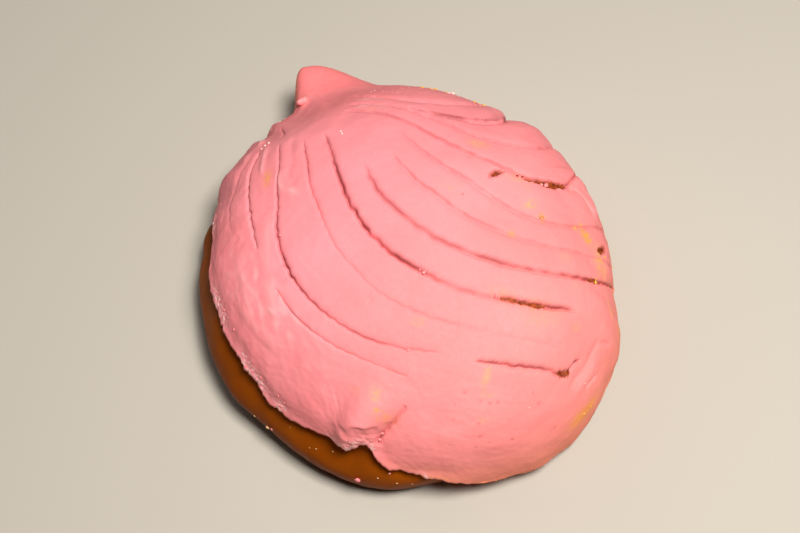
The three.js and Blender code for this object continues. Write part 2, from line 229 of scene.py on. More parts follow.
# ---- Pits: places on the map ----
PITS = (
    (16.2, -31.8), (17.9, -33.2), (8.9, -34), (10.3, -34.7), (11.8, -34.6), (12.7, -37), (4.3, -34.5),
    (3.7, -38), (8.1, -39.2), (8.3, -42.5), (10.1, -44.2), (2.4, -44.4), (7.5, -45.4), (24.2, -43.3),
    (14.6, -44), (10.6, 2.9), (21.2, 2.3), (-20.9, -3.2), (6.2, -31.9), (19.4, -36), (-30.6, 10.9),
    (-6, -12.6), (14, 11))
PIT_DEPTH = 0.15
# Painted shade in the pits
PIT_PAINTED_SHADE = 0.6

# ---- Grooves ----
GROOVE_REACH = 9
STEP_FADE = 3.5
LINE_WIDTH = 0.3
LINE_OFFSET = 0.1
# Points on the map that a groove runs through from the hinge, how strong it is at even stations,
# its depth, the widths of its steep near side and its rounded far lip, how much the far rib stands
# above the near one, and how dark its line of painted shade is
GROOVES = (
    (((-26.2, 26.1), (-30.4, 21.1), (-33.4, 15.5), (-33.3, 8.8)), (.2, .5, .4, .2), .6, 1.8, 2.2, .2, .15),
    (((-24.1, 25.8), (-26.4, 20.1), (-27.2, 14), (-26.9, 7.8), (-26.2, 1.7)),
     (1, 1, .7, .7, .4), 1, .7, 1.6, .2, .5),
    (((-20.4, 33.4), (-19.3, 30.2), (-18.8, 26.7)), (.3, .6, .3), .9, .6, 1.4, .3, .3),
    (((-18.9, 24), (-18.7, 17.3), (-19.9, 10.6), (-21.1, 3.8), (-20.5, -2.9), (-18.5, -9.3), (-14.6, -15),
      (-9.2, -19.3), (-2.9, -22), (3.7, -23.6)),
     (.35, .4, .5, .9, 1.1, .6, .5, .5, .3, .1), 1.6, .45, 2.2, .3, .9),
    (((-24, -6.9), (-21.2, -14.2), (-16, -19.9), (-9.5, -24), (-2.7, -28)),
     (.4, .7, .6, .4, .4), .9, .6, 2.2, .25, .3),
    (((-13.6, 21.4), (-12.9, 14.8), (-12.2, 8.1), (-11, 1.3), (-8.9, -5.1), (-5.4, -10.7), (-.3, -14.9),
      (5.8, -18.1), (12.1, -20.8), (18.4, -23.3), (24.4, -26.1)),
     (.7, .8, .7, .5, .35, .35, .4, .4, .25, .3, .2), 1, .5, 2.2, .25, .25),
    (((-9.9, 22), (-8.4, 15.1), (-7.1, 8.1), (-5.2, 1.3), (-1.7, -4.7), (3.4, -9.6), (9.4, -13.2),
      (16, -16.1), (22.8, -18.4), (29.5, -20.1)),
     (.3, .6, .75, .85, .95, .55, .4, .65, .95, .2), 2, .4, 2.2, .5, 1),
    (((-3.6, 11.2), (-1.5, 4.3), (2.4, -1.4), (7.6, -5.9), (13.6, -9.3), (20.1, -11.7), (27, -13.4),
      (33.9, -14.5), (40.6, -15.2), (47.2, -15.2), (53.8, -14.6), (60, -13.8)),
     (.3, .55, .5, .55, .7, .6, .7, .8, 1.2, .8, .9, .7), 1.9, .4, 2.6, .55, 1),
    (((.5, 12.5), (3.8, 6.5), (8.2, 1.3), (13.5, -2.8), (19.6, -5.8), (26.1, -7.8), (32.8, -8.9),
      (39.6, -9.6), (46.4, -9.8), (53.2, -10)),
     (.4, .9, .9, .85, .7, .6, .5, .4, .4, .45), .75, 1.3, 2.6, .4, .36),
    (((2, 18.7), (6.1, 12.9), (10.7, 7.4), (16.1, 2.6), (22.1, -1.1), (28.8, -3.1), (36.2, -3), (43.2, -1.6),
      (50.2, .4), (57, 2.2)), (.3, .85, .95, .95, .9, .8, .7, .6, .8, .8), .7, 1.3, 2.6, .45, .32),
    (((-6.2, 28.4), (-.1, 24.7), (5.3, 19.9), (10.7, 15.1), (16.5, 10.7), (22.8, 7.1), (29.7, 6.2),
      (36.9, 7.8), (41.8, 12.3), (47, 16.8), (52.6, 20.6), (58.4, 23.8)),
     (.6, .7, .8, .9, .7, 1, 1.4, 1.5, 1.4, 1.3, 1.2, .8), 1.3, .4, 2.8, .8, .5),
    (((-5.8, 31.3), (.4, 28.2), (6.4, 24.4), (12.4, 20.5), (18.9, 17.2), (25.6, 15.7), (32.3, 17.3),
      (38.4, 21.5), (42.6, 25), (47.8, 28.9), (53.2, 32.4)),
     (.5, .6, .8, 1, 1, 1, .9, .9, .9, .9, .7), 1.4, .4, 2.8, .8, .32),
    (((5.5, 26.8), (11.7, 23.7), (18.5, 22.9), (25.2, 24.5), (28.4, 29.4), (31.2, 34.2), (34.5, 40),
      (38, 46)), (.3, .6, 1, 1.4, 1.5, 1.4, 1.2, .8), 1.8, .4, 2.2, 1.2, 1),
    (((-4.6, 36.2), (.8, 32), (7.2, 29.2), (13.8, 29.1), (20.1, 31.8), (25.4, 36.3), (29.2, 42.2), (32, 48.8),
      (34.2, 55.6)), (.4, .6, .7, .8, .8, .7, .8, .8, .6), .9, .8, 1.8, .5, .25),
    (((8.2, -25.6), (13.8, -27.2), (19.4, -28.9), (24.7, -31.2)), (.6, 1.1, .8, .7), 1.5, .35, 1.2, .15, .8),
    (((24.7, -31.2), (26.2, -30.5), (27.2, -29.6), (29.2, -29.1)), (1, 1, .9, .3), 1.4, .35, .8, .1, .9),
    (((-4.2, -34), (-7, -37.3), (-9.7, -40), (-12.7, -43.6)), (.3, .8, 1, 1.1), 1.3, 1, 2.6, .3, .45))

# ---- Colours: one, or a dark and a light one that clouds or grains lie between ----
COOL_PINK = ((.945, .243, .268, 1), (.97, .273, .304, 1))
WARM_PINK = ((.87, .226, .206, 1), (.895, .254, .235, 1))
# Painted shade: the paste is multiplied darker towards the back
BACK_PAINTED_SHADE = (.8, .92, .91, 1)
# Painted shade on the hinge tab and in the valley before it
TAB_PAINTED_SHADE_PINK = (.88, .178, .17, 1)
GRAIN_PINK = (1, .36, .35, 1)
# Painted warm bounce light, thrown up from the floor onto the paste near it
PAINTED_BOUNCE_ORANGE = (.95, .27, .115, 1)
YELLOW_STAIN = (.93, .46, .1, 1)
ORANGE_STAIN = (.88, .26, .06, 1)
CRUMBLED_WHITE = (.98, .6, .57, 1)
# Painted shade in the scores and pits, with the grooves' darker red
SCORE_SHADE_RED = (.28, .042, .042, 1)
TORN_BREAD = ((.13, .014, .001, 1), (.38, .066, .004, 1))
BROWN = ((.222, .043, .001, 1), (.298, .0645, .002, 1))
# Painted shade on the bread near the floor
FOOT_SHADE_BROWN = (.11, .023, .001, 1)
BROWN_GLOSS = (1, .6, .15, 1)
WHITE_SUGAR = ((.93, .52, .48, 1), (.95, .78, .69, 1))
YELLOW_SUGAR = ((.82, .37, .03, 1), (.92, .58, .12, 1))
PINK_SUGAR = ((.9, .25, .25, 1), (.95, .37, .36, 1))
BREAD_CRUMB = ((.6, .3, .1, 1), (.8, .55, .3, 1))
PALE_FLOOR = (.5, .455, .385, 1)
LAMP_WHITE = (1, .98, .955)
ROOM_WHITE = (1, .97, .93, 1)
GRAIN_DEPTH = 0.0003  # metres, of the bumps

# ---- Single crumbs: place on the map and radius in millimetres ----
WHITE_CRUMBS = (
    (-6.7, 20.4, .32), (-6.5, 19.6, .28), (-22.8, 42.4, .3), (-22, 27, .5), (-23.8, 26.3, .45),
    (-22.9, 26.8, .35), (-1.5, 12.3, .16), (-42.7, 18.2, .5), (-50.4, 27.9, .5), (18, 39.6, .8),
    (17, 39.4, .5), (14.9, -24.5, .16), (17.5, -36.6, .14), (31.2, -34.6, .18))
YELLOW_CRUMBS = (
    (-23, 42.3, .22), (14.1, 41, .5), (23.1, 37.4, .45), (25.1, 36.2, .5), (10.6, 39.8, .4),
    (12.4, 40.4, .35), (24.2, 36.9, .3), (39.2, -14.9, .5), (39.9, -15.3, .4), (39.6, -14.3, .3),
    (55.8, -8.4, .3), (39.4, -4.6, .25), (26.5, -2, .25), (33.4, -42.8, .3), (35.6, -41.6, .25),
    (45.6, -8.8, .3), (-9.8, -34, .18))
PINK_CRUMBS = (
    (30.1, 6.3, .75), (28.9, 6.3, .5), (-11.8, -42.6, .6), (-10.8, -40.9, .45), (-9.9, -40.2, .35),
    (2.3, -8.4, .45), (1.8, -7.9, .3), (-2, -22.5, .4), (-2.4, -22, .3), (-23.7, -8.4, .35), (-20.2, 2.6, .4),
    (-15.2, 41.5, 1.8), (37.4, 8, .5), (38.2, 7, .35), (-39, -12, .3))
# On the bare bread: angle, level and radius
PINK_ON_BREAD = ((248.3, .98, 1.1), (256.5, .93, .3), (221, .97, .35))
BREAD_FLECKS = (
    (189.2, .84, .25), (191.8, .86, .25), (194, .89, .28), (196.5, .90, .22), (204, .93, .25),
    (209.5, .97, .22), (214.2, .99, .28), (219.5, .98, .55), (233.8, .93, .22), (235.8, .92, .25),
    (240.6, .9, .3), (253.5, .95, .25), (258.2, .98, .35), (262, 1, .22), (226.5, .9, .2))

# ---- Strewn crumbs: a line on the map, reach to its sides, number ----
WHITE_STREAKS = (
    (((-1, 37.5), (1.9, 36.5), (5.1, 33.5)), .4, 10),
    (((-22.8, 27.6), (-25.5, 23), (-27.5, 14)), .5, 8),
    (((4, 39.5), (11, 40), (18, 39.4), (26, 36)), 1.3, 14))
YELLOW_STREAKS = (
    (((-6, -54.8), (-.9, -57.1), (5.5, -59.7), (14, -62)), .7, 26),
    (((9, 40.2), (18, 40), (26, 36.4)), 1.2, 14))

# ---- Camera and lamps: degrees, millimetres from the crown's axis, metres ----
CAMERA_TILT = 62
CAMERA_ROLL = -10
CAMERA_TARGET = (-1.4, 1.3, 18.0)
CAMERA_DISTANCE = 0.356
LAMP_AIM = (0, 0, 0.02)


# ---- Small helpers on whole arrays ----

def rise(start, end, x):
    """A smooth step: 0 up to start, 1 from end on, s * s * (3 - 2 s) between."""
    s = np.clip((x - start) / (end - start), 0, 1)
    return s * s * (3 - 2 * s)


def bell(x):
    """exp(-x * x)."""
    return np.exp(-x * x)


def turn_between(start, end):
    """Signed turn from one angle to another, between -180 and 180 degrees."""
    return (end - start + 180) % 360 - 180


def polar(angle, reach):
    """x and y of a point at an angle in degrees and a reach."""
    return reach * np.cos(np.radians(angle)), reach * np.sin(np.radians(angle))


def on_map(angle, level):
    """The map place of an angle and a level."""
    return np.stack(polar(angle, MAP_SCALE * level), -1)


def off_map(place):
    """The angle and level of a map place."""
    x, y = place.T
    return np.degrees(np.arctan2(y, x)), np.hypot(x, y) / MAP_SCALE


def round_bell(place, x, y, reach):
    """A round bell about a place."""
    return bell(np.hypot(place[:, 0] - x, place[:, 1] - y) / reach)


def oval(place, x, y, along, across, turn):
    """An elliptical bell around a place, turned by an angle in degrees."""
    cosine, sine = math.cos(math.radians(turn)), math.sin(math.radians(turn))
    dx, dy = place[:, 0] - x, place[:, 1] - y
    return bell(np.hypot((dx * cosine + dy * sine) / along, (dy * cosine - dx * sine) / across))


def stations(share, values):
    """Values given at even stations, read at a share of the way from the first to the last."""
    return np.interp(share, np.linspace(0, 1, len(values)), values)


def ripple(points, size, seed, count=40):
    """Even unevenness: a sum of cosine waves of random direction and phase, their lengths within
    a third of the size, scaled so that its usual height is 1."""
    draw = np.random.default_rng(seed)
    heading = draw.normal(size=(count, points.shape[1]))
    heading /= np.linalg.norm(heading, axis=1, keepdims=True)
    heading *= 2 * np.pi / (size * draw.uniform(0.7, 1.35, (count, 1)))
    phase = draw.uniform(0, 2 * np.pi, count)
    return np.cos(points @ heading.T + phase).sum(1) * math.sqrt(2 / count)


def uneven(points, layers):
    """Ripples added up, each layer with its height, wave length and seed."""
    return sum(height * ripple(points, size, seed) for height, size, seed in layers)


# ---- The roll's surfaces ----

def swell_level(angle):
    """Level at which the bare side starts to swell: smooth steps between stations."""
    angles, levels = np.array(SWELL_LEVELS, float).T
    passed = np.interp(angle % 360, angles, np.arange(len(angles)))
    return np.interp(passed // 1 + rise(0, 1, passed % 1), np.arange(len(angles)), levels)


def smooth_edge(angle):
    """The crust's lower edge without its steps: the lowest level within 8 degrees, averaged twice
    over 5 degrees to either side."""
    every_degree = np.arange(0, 360, 1.0)
    level = np.interp(every_degree, *np.array(CRUST_EDGE).T)
    level = np.min([np.roll(level, k) for k in range(-8, 9)], axis=0)
    for _ in range(2):
        level = np.mean([np.roll(level, k) for k in range(-5, 6)], axis=0)
    return np.interp(angle % 360, np.append(every_degree, 360), np.append(level, level[0]))


def crumbly(place):
    """1 in the middle of the crumbly stretches of the edge, falling off as bells around them."""
    return np.max([round_bell(place, *stretch) for stretch in CRUMBLY], axis=0)


def crust_edge(angle):
    """Level of the crust's lower edge: straight between its stations, with the unevenness of a
    broken line, and about twice as much more where it is crumbly."""
    level = np.interp(angle % 360, *np.array(CRUST_EDGE).T)
    line = on_map(angle, np.minimum(level, 1))
    rough = uneven(line, EDGE_BREAKS) + crumbly(line) * uneven(line, CRUMBLY_EDGE_BREAKS)
    return level + rough / MAP_SCALE


def turns(level):
    """A level's quarter turn down over the dome, and its quarter turn in under it."""
    return np.clip(level, 0, 1) * np.pi / 2, np.clip(level - 1, 0, 1) * np.pi / 2


def bun_surface(angle, level):
    """A superellipse dome down to the widest line and a quarter ellipse tucked in under it, over
    an outline that is a circle with a few cosine waves. The bare side swells out, the hinge tab
    reaches out and up, and a valley runs between the tab and the dome."""
    over, under = turns(level)
    power = 2 / DOME_SQUARENESS
    outline = BUN_RADIUS + sum(
        size * np.cos(np.radians(waves * (angle - crest))) for waves, size, crest in OUTLINE_WAVES)
    wrapped = angle % 360
    bare = rise(*SWELL_STARTS, wrapped) - rise(*SWELL_ENDS, wrapped)
    radius = (outline - DOME_NARROWING * bare) * np.sin(over) ** power
    radius += SWELL * bare * rise(np.minimum(swell_level(angle) - 0.02, SWELL_HIGHEST_LEVEL), 1, level)
    radius += np.interp(wrapped, *np.array(BARE_OUTLINE, float).T) * rise(0.86, 1, level)
    radius -= UNDERSIDE_INSET * (1 - np.cos(under))
    height = WIDEST_HEIGHT * (1 - np.sin(under))
    height += (BUN_HEIGHT - WIDEST_HEIGHT) * np.clip(np.cos(over), 0, 1) ** power
    turn = turn_between(TAB_ANGLE, angle)
    tab = 1 - rise(0, 1, np.abs(turn) / np.where(turn > 0, TAB_LEFT_SPAN, TAB_RIGHT_SPAN))
    radius += tab * TAB_REACH * rise(0.52, 0.99, level) * (1 - rise(1.05, 1.9, level))
    height += tab * TAB_RAISE * bell((level - 1) / TAB_RAISE_WIDTH)
    valley = bell(turn_between(VALLEY_ANGLE, angle) / VALLEY_SPAN)
    height -= VALLEY_DEPTH * valley * bell((level - VALLEY_LEVEL) / VALLEY_WIDTH)
    return np.stack([*polar(angle, radius), height], -1)


def outward(angle, level):
    """Outward direction of the plain dome, and of the quarter ellipse under it."""
    over, under = turns(level)
    power = 2 - 2 / DOME_SQUARENESS
    out = np.sin(over) ** power * np.cos(under) / BUN_RADIUS
    up = np.clip(np.cos(over), 0, 1) ** power / (BUN_HEIGHT - WIDEST_HEIGHT)
    up = up - UNDERSIDE_INSET * np.sin(under) / (WIDEST_HEIGHT * BUN_RADIUS)
    way = np.stack([*polar(angle, out), up], -1)
    return way / np.linalg.norm(way, axis=-1, keepdims=True)


def above(angle, level, lift):
    """Points lifted off the bun's skin along its outward direction."""
    return bun_surface(angle, level) + outward(angle, level) * np.reshape(lift, (-1, 1))


# ---- Paths on the map ----

def smooth_path(points, spacing=0.5):
    """A smooth line through the points, by cubic spans, in steps of about the spacing."""
    knots = np.array(points, float)
    knots = np.vstack([2 * knots[0] - knots[1], knots, 2 * knots[-1] - knots[-2]])
    line = []
    for before, start, end, after in zip(knots[:-3], knots[1:-2], knots[2:-1], knots[3:]):
        steps = max(2, int(np.linalg.norm(end - start) / spacing))
        t = np.linspace(0, 1, steps, endpoint=False)[:, None]
        square = 2 * before - 5 * start + 4 * end - after
        cube = 3 * start - before - 3 * end + after
        line.append(0.5 * (2 * start + (end - before) * t + square * t ** 2 + cube * t ** 3))
    return np.vstack(line + [knots[-2:-1]])


def nearest_on_path(points, path):
    """For each point: distance to the path, share of the path's length at the nearest spot, the
    side (1 left of the way it runs, -1 right) and the nearest spot itself."""
    steps = np.diff(path, axis=0)
    lengths = np.linalg.norm(steps, axis=1)
    travelled = np.concatenate([[0], np.cumsum(lengths)])
    distance = np.full(len(points), np.inf)
    share = np.zeros(len(points))
    side = np.ones(len(points))
    spot = np.zeros_like(points)
    for start, step, length, before in zip(path[:-1], steps, lengths, travelled):
        offset = points - start
        along = np.clip(offset @ step / length ** 2, 0, 1)
        foot = start + along[:, None] * step
        gap = np.linalg.norm(points - foot, axis=1)
        closer = gap < distance
        distance = np.where(closer, gap, distance)
        share = np.where(closer, (before + along * length) / travelled[-1], share)
        side = np.where(closer, np.where(step[0] * offset[:, 1] - step[1] * offset[:, 0] > 0, 1, -1), side)
        spot = np.where(closer[:, None], foot, spot)
    return distance, share, side, spot


def beside_path(points, path, reach):
    """Which points lie within reach of the path's box, and what nearest_on_path says of them."""
    low, high = path.min(0) - reach, path.max(0) + reach
    near = np.flatnonzero(((points > low) & (points < high)).all(1))
    return near, *nearest_on_path(points[near], path)


def groove_paths():
    """Each groove's line, roughened by a fifteenth of a millimetre as torn paste is."""
    paths = [smooth_path(points) for points, *_ in GROOVES]
    return [path + 0.07 * np.stack([ripple(path, 2, 100 + k), ripple(path, 2, 200 + k)], -1)
            for k, path in enumerate(paths)]


def draw_in(points, paths, reach=2.2, pull=0.35):
    """Draws map points towards the nearest path, so that the mesh is fine there: the distance d
    becomes d * (pull + (1 - pull) * (d / reach)^2) within the reach."""
    distance = np.full(len(points), np.inf)
    spot = points.copy()
    for path in paths:
        near, found, _, _, foot = beside_path(points, path, reach)
        closer = found < distance[near]
        distance[near] = np.where(closer, found, distance[near])
        spot[near] = np.where(closer[:, None], foot, spot[near])
    share = np.clip(distance / reach, 0, 1)
    scale = np.where(share < 1, pull + (1 - pull) * share ** 2, 1)
    return np.where((share < 1)[:, None], spot + (points - spot) * scale[:, None], points)


# ---- Relief of the crust ----

def rib_bulge(angle, level):
    """The rib ends stand out by RIB_OUTLINE, from half way down to below the widest line."""
    size = np.interp(turn_between(0, angle), *np.array(RIB_OUTLINE, float).T)
    return size * rise(0.5, 0.74, level) * (1 - rise(1.3, 1.5, level))


def ridge_along(place, line, heights, width, power=2):
    """A ridge: exp(-(distance / width)^power) across the line, its height running through the
    heights at even stations and dying out within a width past either end."""
    near, distance, share, _, _ = beside_path(place, smooth_path(line), 3 * width)
    relief = np.zeros(len(place))
    relief[near] = stations(share, heights) * np.exp(-(distance / width) ** power)
    return relief


def pinch_relief(place):
    """The pinched nipple: a flat-topped ridge that rises towards the edge, broken off across a
    line into a rough slope, with a tongue left beside the break and a wrinkled dent at its left."""
    start, end = np.array(PINCH_BREAK)
    way = (end - start) / np.linalg.norm(end - start)
    past = (place - start) @ np.array([way[1], -way[0]]) + 0.25 * ripple(place, 2.6, 41)
    slope = np.clip(past / SLOPE_LENGTH, 0, 1)
    relief = ridge_along(place, *PINCH)
    relief *= 1 - BREAK_DROP * rise(*BREAK_SPAN, past) - SLOPE_DROP * slope
    relief += ridge_along(place, *TONGUE)
    relief += ridge_along(place, *DENT)
    face = rise(0, 0.12, slope) * bell((place[:, 0] - FACE_X) / FACE_HALF_WIDTH) * (past < FACE_LENGTH)
    relief += face * uneven(place, BROKEN_FACE)
    return relief + WRINKLE_HEIGHT * oval(place, *WRINKLES) * ripple(place * WRINKLE_STRETCH, 6.0, 44)


def fold_relief(place):
    """Height and whiteness of the folds, creases and smears, which are bells across their lines
    that start and end softly, and of the lumps, which are turned elliptical bells."""
    height, white = np.zeros((2, len(place)))
    for line, rises, width, whiteness in RIDGES:
        near, distance, share, _, _ = beside_path(place, smooth_path(line), 3 * width)
        here = bell(distance / width) * rise(-0.02, 0.25, share) * (1 - rise(0.75, 1.02, share))
        height[near] += rises * here
        white[near] = np.maximum(white[near], whiteness * here)
    for *where, rises, whiteness in LUMPS:
        here = oval(place, *where)
        height += rises * here
        white = np.maximum(white, whiteness * here)
    return height, white


def near_tears(place):
    """For each tear the points near it, how far they lie outside its edge, the nearest spots on
    its line, the half-widths there, made ragged by about a seventh, and its depth."""
    for line, halves, depth in TEARS:
        near, distance, share, side, foot = beside_path(place, smooth_path(line, 0.25), 2.5)
        ragged = foot + side[:, None] * (3.0, -2.0)
        half = stations(share, halves) * (1 + uneven(ragged, TEAR_BREAKS))
        yield near, distance - half, foot, half, depth


def trim_to_tears(place):
    """Map points within a fifth of a millimetre of a tear's edge, moved onto the edge."""
    trimmed = place.copy()
    for near, outside, foot, half, _ in near_tears(place):
        way = (place[near] - foot) / np.maximum(outside + half, 1e-6)[:, None]
        close = (np.abs(outside) < 0.2)[:, None]
        trimmed[near] = np.where(close, foot + way * half[:, None], trimmed[near])
    return trimmed


def tear_share(place):
    """1 inside the tears, 0 on their edges and outside, and how deep the tear is there."""
    share_torn, sunk = np.zeros((2, len(place)))
    for near, outside, _, _, depth in near_tears(place):
        here = 1 - rise(-0.12, -0.01, outside)
        share_torn[near] = np.maximum(share_torn[near], here)
        sunk[near] = np.where(here > 0, depth, sunk[near])
    return share_torn, sunk


def groove_relief(place, paths):
    """Height change and painted shade of all grooves. On its far side a groove has a lip rounded as a
    quarter circle, on its near side a steep wall, and the far rib stands higher by a step that
    dies out on both sides. The dark line is painted shade in the groove, with the groove's darker red:
    a broken bell at the foot of the far lip, and further up the lip where a deep groove runs
    towards +X."""
    height, dark = np.zeros((2, len(place)))
    for (_, strength, depth, wall, lip, step, line_shade), path in zip(GROOVES, paths):
        near, distance, share, side, _ = beside_path(place, path, GROOVE_REACH)
        power = stations(share, strength)
        taper = rise(-0.001, 0.04, share) * (1 - rise(0.96, 1.001, share))
        ends = (share <= 0.001) | (share >= 0.999)
        outer = np.clip(distance / (lip * (0.65 + 0.6 * share)), 0, 1)
        inner = np.clip(distance / wall, 0, 1)
        cut = np.where(side > 0, 1 - np.sqrt(1 - (1 - outer) ** 2), (1 - inner) ** 1.5)
        shift = side * np.exp(-distance / STEP_FADE)
        height[near] = np.minimum(height[near], -depth * power * taper * np.where(ends, 0, cut))
        height[near] += 0.5 * step * power * taper * np.where(ends, 0, shift)
        steps = np.gradient(path, axis=0)
        run = np.clip(stations(share, steps[:, 0] / np.linalg.norm(steps, axis=1)), 0, 1)
        back = rise(5, 30, place[near, 1])
        raised = 0.5 * back * np.clip(depth * power - 1, 0, 1.5)
        raised += 0.25 * (1 - back) * rise(0.9, 1.3, depth * power)
        up_lip = distance * side - LINE_OFFSET - run * raised
        broken = np.clip(0.85 + uneven(place[near], SCORE_BREAKS), 0.1, 1)
        # The line is painted shade at the groove's foot, with the groove's darker red
        line = line_shade * np.clip(1.25 * power, 0, 1) * taper * broken * bell(up_lip / LINE_WIDTH)
        dark[near] = np.maximum(dark[near], np.clip(line, 0, 1))
    return height, dark


def crust_relief(angle, level, paths):
    """All relief on the crust's outside, and the masks of its marks: painted shade of scores and pits,
    whiteness, torn.
    """
    place = on_map(angle, level)
    relief = rib_bulge(angle, level) + pinch_relief(place)
    from_edge = (level - crust_edge(angle)) * MAP_SCALE
    bare = rise(*THIN_STARTS, angle % 360) * (1 - rise(*THIN_ENDS, angle % 360))
    relief -= EDGE_THINNING * bare * rise(*THIN_TOWARDS_EDGE, from_edge)
    for middle, span, middle_level, reach, rises in BACK_FORMS:
        relief += rises * bell(turn_between(middle, angle) / span) * bell((level - middle_level) / reach)
    relief += uneven(place, PASTE_WAVES)
    height, dark = groove_relief(place, paths)
    folds, white = fold_relief(place)
    relief += height + folds
    crumble = crumbly(place) * rise(-4.0, -0.8, from_edge)
    relief += crumble * uneven(place, CRUMBLY_SKIN)
    crumbled = np.clip(crumble * (0.7 + 0.6 * ripple(place, 1.4, 63)), 0, 1)
    flaky = oval(place, *FLAKY) * np.clip(0.1 + 0.5 * ripple(place * FLAKE_STRETCH, 4.0, 65), 0, 1)
    relief += FLAKE_HEIGHT * flaky
    white = np.max([white, crumbled, FLAKE_WHITENESS * flaky], axis=0)
    # Pits: dented, and darkened with painted shade
    for k, (x, y) in enumerate(PITS):
        here = round_bell(place, x, y, 0.15 + 0.035 * (k % 5))
        relief -= PIT_DEPTH * here
        dark = np.maximum(dark, PIT_PAINTED_SHADE * here)
    torn, sunk = tear_share(place)
    relief = relief * (1 - torn) + torn * (0.2 * ripple(place, 1.6, 64) - sunk)
    return relief, dark, white, torn


def stain_masks(place):
    """Strength and redness of the sugar stains: turned elliptical bells broken up by ripples."""
    stain, red = np.zeros((2, len(place)))
    for k, (x, y, along, across, turn, strength, redness) in enumerate(STAINS):
        here = oval(place, x, y, 1.25 * along, 1.25 * across, turn)
        near = here > 0.02
        here[near] *= np.clip(0.95 + 0.5 * ripple(place[near], 1.5, 400 + k), 0, 1.6)
        stain = np.maximum(stain, np.clip(strength ** 1.6 * here, 0, 1))
        red = np.maximum(red, redness * (here > 0.05))
    return stain, red


def tab_and_valley_painted_shade(angle, level):
    """Painted shade as a deeper pink: on the hinge tab, and less so in the valley before it."""
    tab = 0.8 * bell(turn_between(104, angle) / 17) ** 0.5 * rise(0.66, 0.76, level)
    valley = 0.5 * bell(turn_between(94, angle) / 27)
    return np.maximum(tab, valley * rise(0.36, 0.6, level) * (1 - rise(0.8, 0.95, level)))


# ---- Meshes ----

def in_scene(name, data):
    """A new object of the scene, at the origin."""
    thing = bpy.data.objects.new(name, data)
    bpy.context.scene.collection.objects.link(thing)
    return thing


def new_piece(name, points, faces, material, attributes=()):
    """A mesh object at the origin from millimetre points beside the crown's axis."""
    mesh = bpy.data.meshes.new(name)
    mesh.from_pydata((points + CROWN) * MM, [], faces)
    mesh.shade_smooth()
    for label, values in attributes:
        layer = mesh.attributes.new(label, "FLOAT", "POINT")
        layer.data.foreach_set("value", np.ascontiguousarray(values, np.float32))
    mesh.materials.append(material)
    mesh.update()
    return in_scene(name, mesh)


def wrapped_square(cells):
    """A square grid wrapped to a disc: its k-th square becomes a ring of 8 k points. Gives each
    point's reach from the middle (0 to 1) and angle in degrees, the quads, and the outer ring's
    indices anticlockwise."""
    line = np.linspace(-1, 1, cells + 1)
    across, along = np.meshgrid(line, line)
    reach = np.maximum(np.abs(across), np.abs(along))
    safe = np.where(reach > 0, reach, 1)
    angle = np.where(
        np.abs(across) >= np.abs(along),
        np.where(across >= 0, 0, 180) + 45 * np.sign(across) * along / safe,
        np.where(along >= 0, 90, 270) - 45 * np.sign(along) * across / safe)
    number = np.arange((cells + 1) ** 2).reshape(cells + 1, cells + 1)
    corners = [number[:-1, :-1], number[:-1, 1:], number[1:, 1:], number[1:, :-1]]
    rim = np.concatenate([number[0, :-1], number[:-1, -1], number[-1, :0:-1], number[:0:-1, 0]])
    return reach.ravel(), angle.ravel(), np.stack(corners, -1).reshape(-1, 4), rim


def ring_faces(rings, tip):
    """Quads between rings of indices, each below or inside the one before, and a fan of triangles
    from the last ring to the tip."""
    faces = []
    for first, second in zip(rings[:-1], rings[1:]):
        faces += np.stack([first, second, np.roll(second, -1), np.roll(first, -1)], -1).tolist()
    last = rings[-1]
    return faces + np.stack([last, np.full(len(last), tip), np.roll(last, -1)], -1).tolist()


def closed_faces(rings, around):
    """Faces of a closed skin: a first point, rings of as many points around, a last point."""
    ring = 1 + np.arange(around)
    crown = np.stack([0 * ring, ring, np.roll(ring, -1)], -1).tolist()
    return crown + ring_faces([ring + k * around for k in range(rings)], 1 + rings * around)


def crust_places(reach, angle, paths):
    """The wrapped square's points on the map: even from the crown to just above the smooth edge,
    then out to the broken edge, drawn in towards the grooves and the pinch's break but not at the
    edge itself, and trimmed to the tears."""
    inner = np.minimum(0.94 * smooth_edge(angle), 1.0)
    outer = (crust_edge(angle) - inner) * (reach - EVEN_SHARE) / (1 - EVEN_SHARE)
    place = on_map(angle, np.where(reach < EVEN_SHARE, inner * reach / EVEN_SHARE, inner + outer))
    drawn = draw_in(place, paths + [smooth_path(PINCH_BREAK)])
    hold = rise(0.95, 1.0, reach)[:, None]
    return trim_to_tears(place * hold + drawn * (1 - hold))


